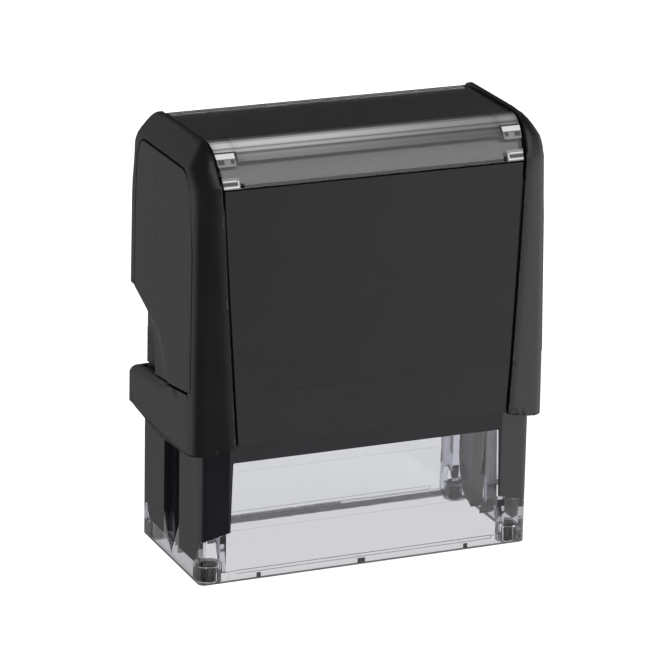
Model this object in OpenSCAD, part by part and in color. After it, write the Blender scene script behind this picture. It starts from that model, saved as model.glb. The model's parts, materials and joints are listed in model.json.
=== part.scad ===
// Self inking stamp, 64 x 26 mm size class: a clear positioning base and a
// black frame that stand on the paper, and a cap that is pressed down over
// them. Pressing the cap turns the text plate over, from the ink pad above it
// to the paper below it.
// Millimetres. +Z up, front towards -Y, origin on the paper at the middle.

/* [Overall sizes] */
// Width of the base and of the frame's legs, end face to end face
base_w = 79; // [78.8:0.1:79.2]
// Depth of the base and of the frame's legs, front to back
base_d = 35.4; // [35.2:0.1:35.5]
// Width over the two side covers of the cap
cover_w = 84.8; // [84.6:0.1:85.2]
// Height of the cap's side covers above the paper, cap up
cap_top = 99.5; // [99.3:0.1:99.8]
// Height of the lower edge of the cap's front panel, cap up
panel_bottom = 32.7; // [32.4:0.1:33]
// Corner radius of the side covers, seen from above
cover_corner_r = 2.8; // [2:0.2:3.4]

/* [Printing movement] */
// How far the cap is pressed down
travel = 28; // [26:0.5:28]
// Distance from the turning axle to the face of the text plate
die_height = 8; // [7.9:0.05:8]
// Air gap between the raised text plate and the ink pad
ink_gap = 1.0; // [0.9:0.1:1.1]
// Distance of the cam followers from the turning axle
follower_arm = 5.6; // [5.2:0.1:5.6]
// Diameter of the axle pins
axle_d = 4; // [3.6:0.1:4]
// Diameter of the cam followers
follower_d = 3; // [2.6:0.1:3]

/* [Text plate and ink pad] */
// Length of the text plate
plate_l = 63; // [60:0.5:63.6]
// Depth of the text plate
plate_w = 25; // [23:0.5:25]
// Raised lines on the text plate
plate_lines = 4; // [2:1:4]
// Length of the ink pad
pad_l = 64; // [62:0.5:64]
// Depth of the ink pad
pad_w = 26.4; // [25:0.2:26.4]

/* [Return spring] */
// Outer diameter of the return spring
spring_d = 12; // [11:0.5:13]
// Wire diameter of the return spring
spring_wire = 1; // [0.8:0.1:1.1]
// Turns of the return spring
spring_turns = 8; // [6:1:9]

/* [Side buttons] */
// Free travel of each lock button
button_travel = 1; // [0.8:0.1:1]
// Gap all round a lock button
button_gap = 0.4; // [0.3:0.05:0.5]
// Grip ribs on each lock button
grip_ribs = 3; // [2:1:3]

/* [Hidden] */
$fn = 64;
e = 0.01;

hx = base_w / 2;              // outer face of the legs, end
hy = base_d / 2;              // outer face of the legs, front and back
cx = cover_w / 2;             // outer end face of the side covers
axle_z = die_height + travel; // turning axle, cap up
face_z = axle_z + die_height; // face of the raised text plate
pad_z = face_z + ink_gap;     // lower face of the ink pad
roof_z = pad_z + 8.5;         // underside of the frame's roof
roof_top = roof_z + 1.5;
slot_hw = 4.65;               // half width of the slot in each leg
in_x = 40.0;                  // inner face of the side covers
spring_top = 95.3;

// Inner edge of a side cover: the gap line between cover and panel.
edge = [[32.7, 29], [32.7, 32.7], [33.3, 42], [34.05, 55], [34.75, 68],
        [35.35, 80], [35.85, 90.2], [36.4, 95.5], [36.8, 99.6], [36.8, 101]];

// Outline of the cap from the end, front at the left, without the window.
cap_outline = [[-20.6, panel_bottom], [-20.45, 44.2], [-19.7, 66],
    [-18.85, 90.1], [-16.3, 90.1], [-14.7, 93.3], [-12.75, 95.7],
    [-11.5, 96.6], [-10, 97.05], [13.4, 97.05], [13.4, 99.15], [14.3, 99.0],
    [15.5, 97.9], [18.9, 90.3], [19.8, 72], [20.3, 60], [18.2, 60],
    [18.2, 62], [0, 62], [-18.2, 50], [-18.2, panel_bottom]];
// Hollow of the cap, seen from the end.
cap_hollow = [[-18.2, 20], [-18.2, 64], [-17.6, 66], [-17.6, 86.5],
    [-14.6, 90], [-13.3, 92.6], [-11.4, 94.9], [-10, 95.3], [12.5, 95.3],
    [17.6, 87.5], [17.6, 66], [18.2, 64], [18.2, 20]];
// Part of the cap's walls that reaches under the side covers.
cap_core = [[-19.45, 34.4], [-19.45, 50], [-18.7, 86], [-15.2, 90.4],
    [-12.6, 94.4], [-11, 95.9], [13, 95.9], [18.3, 88], [19.2, 66],
    [19.2, 60], [18.2, 60], [18.2, 62], [0, 62], [-18.2, 50], [-18.2, 34.4]];
// Outline of a side cover from the end.
cover_outline = [[-20.95, 28], [-20.93, 34], [-20.0, 66], [-19.2, 90.2],
    [-18.35, 92.3], [-17.6, 93.8], [-16.75, 95.2], [-15.8, 96.5], [-14.75, 97.65], [-13.8, 98.45],
    [-12.8, 98.99], [-11.7, 99.35], [-10.5, cap_top], [14.3, cap_top], [15.2, 99.05], [15.9, 98.3],
    [19.3, 90.5], [20.2, 72], [20.8, 60], [20.95, 28]];
// Room inside a side cover that the cap's walls fill.
cover_room = [[-19.5, 20], [-19.5, 50], [-18.75, 86], [-15.25, 90.45],
    [-12.65, 94.45], [-11, 95.95], [13, 95.95], [18.35, 88], [19.25, 66],
    [19.25, 20]];
// Clear window over the top and the front edge of the cap.
window_outline = [[-18.75, 90.4], [-18.0, 92.0], [-17.35, 93.3], [-16.6, 94.6], [-15.6, 96.05],
    [-14.4, 97.35], [-13.55, 98.05], [-12.6, 98.6], [-11.6, 99.0], [-10.5, 99.15], [13.2, 99.15],
    [13.2, 97.6], [-10.2, 97.6], [-11.8, 97.1], [-13.2, 96.1], [-15.2, 93.6],
    [-16.5, 91.3], [-16.95, 90.4]];
card_outline = [[13.0, 97.5], [-10.15, 97.5], [-11.73, 97.0], [-13.1, 96.02],
    [-15.1, 93.55], [-16.4, 91.25], [-16.75, 90.6], [-16.5, 90.6],
    [-16.15, 91.15], [-14.88, 93.4], [-12.93, 95.83], [-11.63, 96.77],
    [-10.1, 97.25], [13.0, 97.25]];
// Lock button in a side cover, seen from the end.
button_outline = [[-17.6, 44.9], [-17.35, 60], [-16.95, 76], [-16.0, 87],
    [-15.2, 89.6], [-13.9, 91.8], [-12.4, 93.1], [-10.8, 93.6], [13.0, 93.6],
    [14.4, 93.1], [15.6, 91.9], [16.5, 90.0], [17.0, 87.5], [17.5, 76],
    [17.6, 59.9], [8.9, 56.4], [9.3, 55.2], [7.9, 50.9], [6.2, 47.2],
    [6.2, 41.4], [-4.3, 43.2]];
// Finger scoop at the lower back corner of a lock button.
scoop_outline = [[30, 63.9], [8.9, 56.4], [5.2, 54.9], [2.2, 52.9],
    [-0.3, 50.4], [-2.3, 47.4], [-3.6, 44.6], [-4.3, 43.2], [-4.3, 38],
    [30, 38]];
// Notch in a side cover behind the lock button.
notch_outline = [[-17.6 - button_gap, 44.45], [-4.3, 42.75], [17.7, 38.8],
    [22, 38.3], [22, 61.2], [18.0, 59.75], [17.9, 76], [17.4, 87.6],
    [16.85, 90.2], [15.85, 92.2], [14.6, 93.45],
    [13.1, 93.6 + button_gap], [-10.9, 93.6 + button_gap], [-12.7, 93.45], [-14.3, 92.05],
    [-15.6, 89.8], [-16.4, 87.1], [-17.36, 76], [-17.76, 60]];

// Lays an outline drawn as (y, z) along X from x0 to x1.
module along_x(x0, x1) {
    translate([x0, 0, 0]) rotate([90, 0, 90])
        linear_extrude(x1 - x0) children();
}
// Lays an outline drawn as (x, z) along Y from y0 to y1.
module along_y(y0, y1) {
    translate([0, y1, 0]) rotate([90, 0, 0])
        linear_extrude(y1 - y0) children();
}
module both_ends() {
    children();
    mirror([1, 0, 0]) children();
}
module both_faces() {
    children();
    mirror([0, 1, 0]) children();
}
module box(x0, y0, z0, x1, y1, z1) {
    translate([x0, y0, z0]) cube([x1 - x0, y1 - y0, z1 - z0]);
}
// Flat rectangle with round corners, centred.
module round_rect(w, d, r) {
    union() {
        square([w - 2 * r, d], center = true);
        square([w, d - 2 * r], center = true);
        for (x = [-1, 1], y = [-1, 1])
            translate([x * (w / 2 - r), y * (d / 2 - r)]) circle(r);
    }
}
module post(w, d, r, z0, z1) {
    translate([0, 0, z0]) linear_extrude(z1 - z0) round_rect(w, d, r);
}
// A cylinder along X.
module rod(x0, x1, y, z, d) {
    translate([x0, y, z]) rotate([0, 90, 0]) cylinder(h = x1 - x0, d = d);
}

// Path of the cam followers in the frame, as (y, z), and its offset sides.
function cam_pt(t) = [-follower_arm * sin(t),
                      axle_z - travel * t / 180 + follower_arm * cos(t)];
function cam_dir(t) = let (v = [-follower_arm * cos(t),
                                -travel / PI - follower_arm * sin(t)])
                      v / norm(v);
function cam_side(t, w) = cam_pt(t) + w * [-cam_dir(t)[1], cam_dir(t)[0]];
module cam_track(w) {
    polygon(concat([for (t = [0:9:180]) cam_side(t, w)],
                   [for (t = [180:-9:0]) cam_side(t, -w)]));
}

module lower_frame() color("#2b2c2e") {
    difference() {
        union() {
            // Legs and crossbars.
            post(base_w, base_d, 2.6, 2, 36);
            // Walls round the ink cartridge.
            post(base_w - 1, base_d - 1, 2.2, 36 - e, roof_top);
            // Cup that holds the return spring.
            translate([0, 0, roof_top - e]) cylinder(h = 6, r = 4.2);
        }
        // Hollow for the turning platen.
        box(-37.7, -16.3, -1, 37.7, 16.3, 36);
        box(-37.7, -16.0, 36 - e, 37.7, 16.0, roof_z);
        translate([0, 0, roof_top + 1]) cylinder(h = 6, r = 3);
        // Windows between the legs, front and back.
        along_y(-20, 0) polygon([[-32.7, -1], [-32.6, 11.8], [-32.1, 26.9],
            [-31.1, 27.9], [31.1, 27.9], [32.1, 26.9], [32.6, 11.8],
            [32.7, -1]]);
        along_y(-e, 20) polygon([[-36.8, -1], [-36.8, 11.8], [-36.6, 26.9],
            [-35.6, 27.9], [35.6, 27.9], [36.6, 26.9], [36.8, 11.8],
            [36.8, -1]]);
        // Lower edges of the legs, front and back.
        both_ends() along_y(-20, -15.6) polygon([[30, -1], [41, -1],
            [41, 10.1], [38.6, 10.1], [33.6, 11.45], [30, 12.4]]);
        both_ends() along_y(15.6, 20) polygon([[30, -1], [41, -1],
            [41, 10.1], [38.6, 10.1], [33.6, 11.45], [30, 12.4]]);
        // Lower edges of the legs, ends: two lobes.
        both_ends() both_faces() along_x(37, 41) polygon([[-1, -1], [20, -1],
            [20, 10.1], [15.6, 10.1], [15.2, 8.1], [14.5, 5.9], [13.4, 4.6],
            [-1, 4.4]]);
        // Slots in the end faces for the covers' guide ribs.
        both_ends() box(37.7 - e, -slot_hw, -1, 41, slot_hw, 52);
        // Way out for the ink cartridge and its finger grips.
        box(-38.0, 10, pad_z - 0.2, 38.0, 20, roof_z);
        both_ends() box(37.7 - e, 9.2, 40.4, 41, 20, 52);
        // Pockets that the lock buttons' catches enter.
        both_ends() box(38.5, -12.4, 49.6, 41, -7.6, 53.4);
        both_ends() box(38.5, -12.4, 35.6, 41, -7.6, 39.4);
    }
    // Rails under the cartridge.
    both_ends() box(34.6, -16.1, pad_z - 1.4, 37.8, 16.1, pad_z - 0.2);
    // Cam plates with the follower tracks and the axle slots.
    both_ends() difference() {
        along_x(34.8, 37.8) polygon([[-9, 9], [-7, 4.5], [-2.2, 2.0],
            [2.2, 2.0], [7, 4.5], [9, 9], [9, pad_z - 1.2],
            [-9, pad_z - 1.2]]);
        along_x(34, 37) cam_track(follower_d / 2 + 0.2);
        rod(34, 37, 0, axle_z + follower_arm, follower_d + 0.4);
        rod(34, 37, 0, die_height - follower_arm, follower_d + 0.4);
        box(34, -axle_d / 2 - 0.3, -1, 38, axle_d / 2 + 0.3, axle_z);
        rod(34, 38, 0, axle_z, axle_d + 0.6);
    }
}

module clear_base() color("#c9cad2", 0.45) {
    difference() {
        union() {
            // Plinth, flush with the legs.
            difference() {
                post(base_w, base_d, 2.6, 0, 12);
                box(-38.1, -16.0, -1, 38.1, 16.0, 13);
                // Leaves room for the legs' ends.
                both_ends() both_faces() along_x(37, 41) polygon([
                    [-1, 4.3], [13.5, 4.5], [14.65, 5.8], [15.35, 8.05],
                    [15.75, 10.0], [15.75, 13], [-1, 13]]);
                both_ends() both_faces() along_y(15.4, 20) polygon([
                    [32.4, 11.65], [33.6, 11.35], [38.6, 10.0], [41, 10.0],
                    [41, 13], [32.4, 13]]);
            }
            // Sides of the slot bottoms.
            both_ends() both_faces() along_x(38.1, hx) polygon([[0, 0],
                [4.6, 0], [4.6, 9.6], [0, 9.6]]);
            // Front and back windows between the legs.
            along_y(-hy + 0.1, -15.9) polygon([[-32.45, 0],
                [-32.4, 11.8], [-31.95, 26.8], [-31.0, 27.75], [31.0, 27.75],
                [31.95, 26.8], [32.4, 11.8], [32.45, 0]]);
            along_y(15.9, hy - 0.1) polygon([[-36.6, 0],
                [-36.6, 11.8], [-36.4, 26.8], [-35.4, 27.75], [35.4, 27.75],
                [36.4, 26.8], [36.6, 11.8], [36.6, 0]]);
            // Lips behind the legs and the crossbars.
            along_y(-16.25, -15.4) polygon([[-34.3, 2],
                [-34.3, 30], [34.3, 30], [34.3, 2]]);
            along_y(15.4, 16.25) polygon([[-37.4, 2],
                [-37.4, 30], [37.4, 30], [37.4, 2]]);
            // Guide columns inside the legs.
            both_ends() both_faces() difference() {
                box(32.9, 8.7, 2, 34.5, 16.2, 30);
                along_x(32, 35.5) polygon([[8, -1], [14.6, -1], [14.6, 5],
                    [13.4, 8.2], [11.6, 9.4], [9.8, 8.2], [8, 5]]);
            }
            // Cups that hold the feet.
            for (x = [-1, 1], y = [-1, 1])
                translate([x * 36.2, y * 14.2, 0]) cylinder(h = 4.2, r = 2.6);
        }
        // Bores for the feet.
        for (x = [-1, 1], y = [-1, 1])
            translate([x * 36.2, y * 14.2, -1]) cylinder(h = 4.6, r = 1.75);
        // Notches that the axle pins drop into.
        both_ends() along_x(37, 41) polygon([[0, 1.3], [slot_hw, 9.7],
            [slot_hw, 20], [-slot_hw, 20], [-slot_hw, 9.7]]);
        // Lower rim, drawn in a little from the windows' faces.
        both_faces() along_x(-31, 31) polygon([[-20, 1.6], [-hy + 0.35, 1.8],
            [-hy + 0.35, 2.6], [-20, 2.7]]);
    }
    // Sight marks on the lower rim, and the plain raised bar at the back.
    for (x = [-25.3, -0.7, 24.8])
        box(x - 0.8, -hy + 0.05, 0.2, x + 0.8, -hy + 0.4, 1.3);
    box(-18, 15.6, 3.4, 4, 15.95, 5.2);
}

module base_feet() color("#1b1b1d") {
    for (x = [-1, 1], y = [-1, 1])
        translate([x * 36.2, y * 14.2, 0]) cylinder(h = 3.6, r = 1.75);
}

module ink_cartridge() color("#222326") {
    difference() {
        union() {
            box(-37.3, -15.6, pad_z, 37.3, 16.7, roof_z - 0.3);
            // Finger grips at the two ends.
            both_ends() box(37.2, 10.2, pad_z, 38.9, 16.7, 51.4);
            both_ends() box(38.0, 10.2, 41, 38.9, 16.7, 51.4);
        }
        // Well for the pad, open downwards.
        box(-pad_l / 2 - 0.2, -pad_w / 2 - 0.2, pad_z - 1,
            pad_l / 2 + 0.2, pad_w / 2 + 0.2, pad_z + 3.2);
        // Relief above the well.
        box(-35.5, -14, pad_z + 5, 35.5, 14.8, roof_z);
        // Grooves in the finger grips.
        both_ends() for (z = [43, 45.4, 47.8, 50.2])
            box(38.6, 10, z - 0.5, 40, 17, z + 0.5);
        // Pull recess in the rear wall.
        box(-14, 16.0, pad_z + 2, 14, 18, pad_z + 6.2);
    }
    // Posts that press the pad flat.
    for (x = [-24, -8, 8, 24])
        translate([x, 0, pad_z + 4.9]) cylinder(h = 3, r = 1.6);
}

module ink_pad() color("#26262c") {
    box(-pad_l / 2, -pad_w / 2, pad_z, pad_l / 2, pad_w / 2, pad_z + 3.2);
}

module cap_shell() color("#343536") {
    difference() {
        union() {
            // Panel between the covers.
            intersection() {
                along_x(-40, 40) polygon(cap_outline);
                along_y(-30, 30) offset_edge(0.28);
            }
            along_x(-37.6, 37.6) polygon(cap_core);
        }
        along_x(-41, 41) polygon(cap_hollow);
    }
    // Spigot for the top of the return spring.
    translate([0, 0, 91.3]) cylinder(h = 4.5, r = 4.2);
    // Clip posts for the window.
    both_ends() box(28.5, -15.0, 88.5, 33.5, -12.0, 91.2);
}
// Shape between the two gap lines, drawn in by gap g.
module offset_edge(g) {
    n = len(edge);
    polygon(concat([for (i = [0:n - 1]) [edge[i][0] - g, edge[i][1]]],
                   [for (i = [n - 1:-1:0]) [-edge[i][0] + g, edge[i][1]]]));
}

module side_cover() {
    n = len(edge);
    difference() {
        intersection() {
            along_x(30, cx + 1) polygon(cover_outline);
            along_y(-30, 30) polygon(concat([for (p = edge) p],
                [[37.9, 101], [37.9, cap_top - 0.05], [40.0, 97.4],
                 [41.35, 95.6], [42.0, 94.5], [cx - 0.1, 93.3], [cx, 92.3],
                 [cx, 29], [38.4, 29]]));
            translate([0, 0, 20]) linear_extrude(90)
                round_rect(cover_w, 41.9, cover_corner_r);
        }
        // Room for the cap's walls and, below, for the legs.
        along_x(30, 37.9) polygon(cover_room);
        along_x(37.8, in_x) polygon([[-18.4, 20], [-18.4, 84],
            [-14.4, 91], [-12, 93.4], [12, 93.4], [17.4, 88], [18.4, 64],
            [18.4, 20]]);
        // Lower edge of the front and back flanges.
        along_y(-30, 30) polygon([[32, 28], [32, 32.45], [33.2, 32.25],
            [38.2, 31.05], [39.5, 30.9], [39.5, 28]]);
        // Lower edge of the end wall: a shallow V.
        along_x(38, 44) polygon([[-22, 27], [-22, 30.9], [-18, 30.6],
            [-3, 29.65], [0, 29.6], [3, 29.75], [18, 31.4], [22, 31.5],
            [22, 27]]);
        // Opening for the lock button and the finger notch.
        along_x(in_x - 3, cx + 2) polygon(notch_outline);
        along_y(15, 22) polygon([[30, 38.5], [44, 38.5], [44, 60.2],
            [30, 60.2]]);
    }
    // Guide rib in the leg's slot, with the axle bearing below it.
    box(38.0, -slot_hw + 0.3, 38.4, in_x + 0.5, slot_hw - 0.3, 41.3);
    // Rest for the button spring.
    box(38.3, -3.2, 85, 39.6, 3.2, 95.5);
}
module side_cover_bored() {
    difference() {
        side_cover();
        rod(39, 41.6, 0, axle_z, axle_d + 0.1);
    }
}

module left_side_cover() color("#2f3032")
    mirror([1, 0, 0]) side_cover_bored();
module right_side_cover() color("#2f3032") side_cover_bored();

module label_card() color("#17181a") {
    intersection() {
        along_x(-36, 36) polygon(card_outline);
        along_y(-30, 30) offset_edge(0.7);
    }
}

module index_window() color("#d5d7dc", 0.4) {
    difference() {
        intersection() {
            along_x(-40, 40) polygon(window_outline);
            along_y(-30, 30) offset_edge(0.32);
        }
        // Clip pockets at the two ends.
        both_ends() translate([0, -18.8, 91.6]) rotate([28, 0, 0])
            box(30.6, -2, -0.9, 34.4, 0.45, 0.3);
        both_ends() translate([0, -14.6, 97.2]) rotate([47, 0, 0])
            box(30.6, -2, -1.6, 35.4, 0.45, 0.3);
    }
}

// Points of a closed coil spring standing on z0, as rings of a tube.
coil_sides = 8;
coil_steps = 20;
function coil_z(a, z0, len, wire, turns) =
    let (dead = 360 * 0.9, full = 360 * turns,
         body = (a - dead) / (full - 2 * dead))
    a < dead ? z0 + wire / 2 + wire * a / 360 :
    a > full - dead ? z0 + len - wire / 2 - wire * (full - a) / 360 :
    z0 + wire * 1.4 + (len - 2.8 * wire) * body;
module coil(z0, len, od, wire, turns) {
    r = (od - wire) / 2;
    n = turns * coil_steps;
    rings = [for (i = [0:n]) let (a = 360 * i / coil_steps)
        for (k = [0:coil_sides - 1]) let (b = 360 * k / coil_sides)
            [(r + wire / 2 * cos(b)) * cos(a),
             (r + wire / 2 * cos(b)) * sin(a),
             coil_z(a, z0, len, wire, turns) + wire / 2 * sin(b)]];
    sides = [for (i = [0:n - 1], k = [0:coil_sides - 1])
        let (k2 = (k + 1) % coil_sides, p = i * coil_sides)
            [p + k, p + k2, p + coil_sides + k2, p + coil_sides + k]];
    caps = [[for (k = [coil_sides - 1:-1:0]) k],
            [for (k = [0:coil_sides - 1]) n * coil_sides + k]];
    polyhedron(points = rings, faces = concat(sides, caps), convexity = 10);
}

module return_spring() color("#b9bcc0") {
    coil(roof_top + 0.05, spring_top - roof_top - 0.1, spring_d, spring_wire,
         spring_turns);
}

module lock_button() {
    difference() {
        along_x(cx - 1.25, cx - 0.02) polygon(button_outline);
        along_x(cx - 3, cx + 1) polygon(scoop_outline);
    }
    // Floor of the finger scoop.
    intersection() {
        along_x(cx - 1.5, cx - 0.75) polygon(button_outline);
        along_x(cx - 2, cx) polygon(concat([[12, 57.6]], [for (i = [1:7])
            scoop_outline[i] + [-0.6, 0.4]], [[-4.3, 40], [12, 38]]));
    }
    // Grip ribs.
    for (i = [0:grip_ribs - 1])
        translate([cx - 0.05, 3.6, 77.15 + 3.4 * i]) rotate([0, 90, 0])
            linear_extrude(0.22) round_rect(0.9, 15, 0.44);
    // Catch that enters the frame's pockets, and the spring's spigot.
    box(cx - 2.6, -12, 64, cx - 1.2, -8, 67);
    rod(cx - 1.65, cx - 1.2, 0, 88.5, 2.2);
}
module left_lock_button() color("#303133") mirror([1, 0, 0]) lock_button();
module right_lock_button() color("#303133") lock_button();

// A conical washer spring behind each lock button.
module button_spring() {
    translate([39.62, 0, 88.5]) rotate([0, 90, 0])
        rotate_extrude() polygon([[1.3, 1.5], [1.7, 1.5], [2.8, 0.3],
            [2.8, 0], [2.3, 0]]);
}
module left_button_spring() color("#b9bcc0")
    mirror([1, 0, 0]) button_spring();
module right_button_spring() color("#b9bcc0") button_spring();

module platen() color("#d9d9d6") {
    difference() {
        union() {
            // Plate behind the foam, with a low rim at its two ends.
            box(-31.9, -plate_w / 2, face_z - 6.3, 31.9, plate_w / 2,
                face_z - 4.3);
            // Ribs.
            for (y = [-8, 0, 8])
                box(-31.9, y - 0.7, axle_z - 3.2, 31.9, y + 0.7,
                    face_z - 6.2);
            for (x = [-21, -10.5, 0, 10.5, 21])
                box(x - 0.6, -10.5, axle_z - 2, x + 0.6, 10.5,
                    face_z - 6.2);
            // Hubs that carry the axle pins and the followers.
            both_ends() rod(30.2, 31.9, 0, axle_z, 10);
            both_ends() rod(31.8, 34.3, 0, axle_z, 15.2);
        }
        both_ends() rod(29, 36, 0, axle_z, axle_d);
        both_ends() rod(32.2, 36, 0, axle_z + follower_arm, follower_d);
        // Room for the text plate beside the hubs.
        box(-31.75, -20, face_z - 4.3, 31.75, 20, face_z + 1);
    }
}
module left_axle_pin() color("#c8cacc") rod(-41.5, -30.2, 0, axle_z, axle_d);
module right_axle_pin() color("#c8cacc") rod(30.2, 41.5, 0, axle_z, axle_d);
module cam_followers() color("#c8cacc")
    both_ends() rod(32.2, 36.8, 0, axle_z + follower_arm, follower_d);
module foam_cushion() color("#4a4b50")
    box(-plate_l / 2, -plate_w / 2 + 0.2, face_z - 4.3, plate_l / 2,
        plate_w / 2 - 0.2, face_z - 2.3);
module text_plate() color("#8c3a34") {
    box(-plate_l / 2, -plate_w / 2, face_z - 2.3, plate_l / 2, plate_w / 2,
        face_z - 1);
    // Plain border and bars in place of a customer's wording.
    difference() {
        box(-plate_l / 2 + 1, -plate_w / 2 + 1, face_z - 1 - e,
            plate_l / 2 - 1, plate_w / 2 - 1, face_z);
        box(-plate_l / 2 + 2, -plate_w / 2 + 2, face_z - 1,
            plate_l / 2 - 2, plate_w / 2 - 2, face_z + 1);
    }
    for (i = [0:plate_lines - 1])
        let (y = (plate_w - 9) * (0.5 - i / (plate_lines - 1)),
             l = plate_l * (i % 2 == 0 ? 0.42 : 0.34))
            box(-l, y - 0.9, face_z - 1 - e, l, y + 0.9, face_z);
}

lower_frame();
clear_base();
base_feet();
ink_cartridge();
ink_pad();
cap_shell();
left_side_cover();
right_side_cover();
label_card();
index_window();
return_spring();
left_lock_button();
right_lock_button();
left_button_spring();
right_button_spring();
platen();
left_axle_pin();
right_axle_pin();
cam_followers();
foam_cushion();
text_plate();
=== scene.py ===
# Self inking stamp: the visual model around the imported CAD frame.
import json
import math

import bpy
import bmesh
import numpy as np
from mathutils import Matrix, Vector


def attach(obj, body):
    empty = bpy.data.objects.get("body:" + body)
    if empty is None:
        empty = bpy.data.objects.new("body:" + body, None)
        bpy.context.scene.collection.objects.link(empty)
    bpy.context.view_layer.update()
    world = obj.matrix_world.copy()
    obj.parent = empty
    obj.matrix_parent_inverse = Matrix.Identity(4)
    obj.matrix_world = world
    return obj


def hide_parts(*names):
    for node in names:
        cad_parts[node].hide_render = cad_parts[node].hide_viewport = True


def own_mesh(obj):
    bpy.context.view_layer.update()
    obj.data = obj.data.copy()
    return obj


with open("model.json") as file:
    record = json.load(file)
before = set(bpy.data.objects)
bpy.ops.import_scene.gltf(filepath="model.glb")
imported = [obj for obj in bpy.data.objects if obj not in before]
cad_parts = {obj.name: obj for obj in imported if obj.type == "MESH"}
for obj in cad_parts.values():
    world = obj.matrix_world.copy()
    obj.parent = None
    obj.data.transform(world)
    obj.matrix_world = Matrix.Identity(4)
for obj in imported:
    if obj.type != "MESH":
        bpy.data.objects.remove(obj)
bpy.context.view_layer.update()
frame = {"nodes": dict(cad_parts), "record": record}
MM = 0.001
scene = bpy.context.scene
NODES = frame["nodes"]

# ---------------------------------------------------------------- materials


def new_mat(name):
    m = bpy.data.materials.new(name)
    m.use_nodes = True
    nt = m.node_tree
    for n in list(nt.nodes):
        nt.nodes.remove(n)
    out = nt.nodes.new("ShaderNodeOutputMaterial")
    return m, nt, out


def node(nt, kind, **props):
    n = nt.nodes.new(kind)
    for k, v in props.items():
        setattr(n, k, v)
    return n


def noise(nt, scale, detail=3.0, rough=0.5, stretch=None):
    """Noise over object coordinates, scale in cells per metre."""
    tc = node(nt, "ShaderNodeTexCoord")
    src = tc.outputs["Object"]
    if stretch is not None:
        mp = node(nt, "ShaderNodeMapping")
        mp.inputs["Scale"].default_value = stretch
        nt.links.new(src, mp.inputs["Vector"])
        src = mp.outputs["Vector"]
    n = node(nt, "ShaderNodeTexNoise")
    n.inputs["Scale"].default_value = scale
    n.inputs["Detail"].default_value = detail
    n.inputs["Roughness"].default_value = rough
    nt.links.new(src, n.inputs["Vector"])
    return n.outputs["Fac"]


def remap(nt, src, a, b, lo=0.3, hi=0.7):
    r = node(nt, "ShaderNodeMapRange")
    r.inputs["From Min"].default_value = lo
    r.inputs["From Max"].default_value = hi
    r.inputs["To Min"].default_value = a
    r.inputs["To Max"].default_value = b
    nt.links.new(src, r.inputs["Value"])
    return r.outputs["Result"]


def blend_colours(nt, fac, a, b):
    m = node(nt, "ShaderNodeMix", data_type="RGBA")
    m.inputs["A"].default_value = (*a, 1)
    m.inputs["B"].default_value = (*b, 1)
    nt.links.new(fac, m.inputs["Factor"])
    return m.outputs["Result"]


def plastic(name, dark, light, rough, spread, spec=0.5, grain=9000.0,
            bump=0.25, depth=0.00002, soft=90.0):
    """Moulded plastic: fine spark-eroded grain, slow tone and gloss drift."""
    m, nt, out = new_mat(name)
    p = node(nt, "ShaderNodeBsdfPrincipled")
    nt.links.new(p.outputs["BSDF"], out.inputs["Surface"])
    p.inputs["IOR"].default_value = 1.5
    p.inputs["Specular IOR Level"].default_value = spec
    drift = noise(nt, soft, 4.0, 0.55)
    fine = noise(nt, grain, 2.0, 0.6)
    nt.links.new(blend_colours(nt, remap(nt, drift, 0.0, 1.0), dark, light),
                 p.inputs["Base Color"])
    mix = node(nt, "ShaderNodeMath", operation="ADD")
    nt.links.new(remap(nt, drift, -spread, spread), mix.inputs[0])
    nt.links.new(remap(nt, fine, rough - spread, rough + spread),
                 mix.inputs[1])
    nt.links.new(mix.outputs[0], p.inputs["Roughness"])
    b = node(nt, "ShaderNodeBump")
    b.inputs["Strength"].default_value = bump
    b.inputs["Distance"].default_value = depth
    nt.links.new(fine, b.inputs["Height"])
    nt.links.new(b.outputs["Normal"], p.inputs["Normal"])
    return m


def clear_plastic(name, tint, rough=0.015, ior=1.55, ripple=0.08):
    """Clear moulded plastic that lets the lamps' light through."""
    m, nt, out = new_mat(name)
    p = node(nt, "ShaderNodeBsdfPrincipled")
    p.inputs["Base Color"].default_value = (*tint, 1)
    p.inputs["IOR"].default_value = ior
    p.inputs["Transmission Weight"].default_value = 1.0
    wave = noise(nt, 160.0, 2.0, 0.5)
    nt.links.new(remap(nt, wave, rough, rough * 2.4), p.inputs["Roughness"])
    b = node(nt, "ShaderNodeBump")
    b.inputs["Strength"].default_value = ripple
    b.inputs["Distance"].default_value = 0.0002
    nt.links.new(wave, b.inputs["Height"])
    nt.links.new(b.outputs["Normal"], p.inputs["Normal"])
    t = node(nt, "ShaderNodeBsdfTransparent")
    t.inputs["Color"].default_value = (*[c ** 0.5 for c in tint], 1)
    path = node(nt, "ShaderNodeLightPath")
    mix = node(nt, "ShaderNodeMixShader")
    nt.links.new(path.outputs["Is Shadow Ray"], mix.inputs["Fac"])
    nt.links.new(p.outputs["BSDF"], mix.inputs[1])
    nt.links.new(t.outputs["BSDF"], mix.inputs[2])
    nt.links.new(mix.outputs["Shader"], out.inputs["Surface"])
    return m


COVER = plastic("cover_plastic", (0.0076, 0.0076, 0.0080),
                (0.0094, 0.0094, 0.0098), 0.31, 0.02)
CAP = plastic("cap_plastic", (0.0085, 0.0085, 0.009),
              (0.0105, 0.0105, 0.011), 0.30, 0.02)
LEGS = plastic("frame_plastic", (0.0075, 0.0080, 0.0105),
               (0.0095, 0.0100, 0.0130), 0.30, 0.02)


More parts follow.
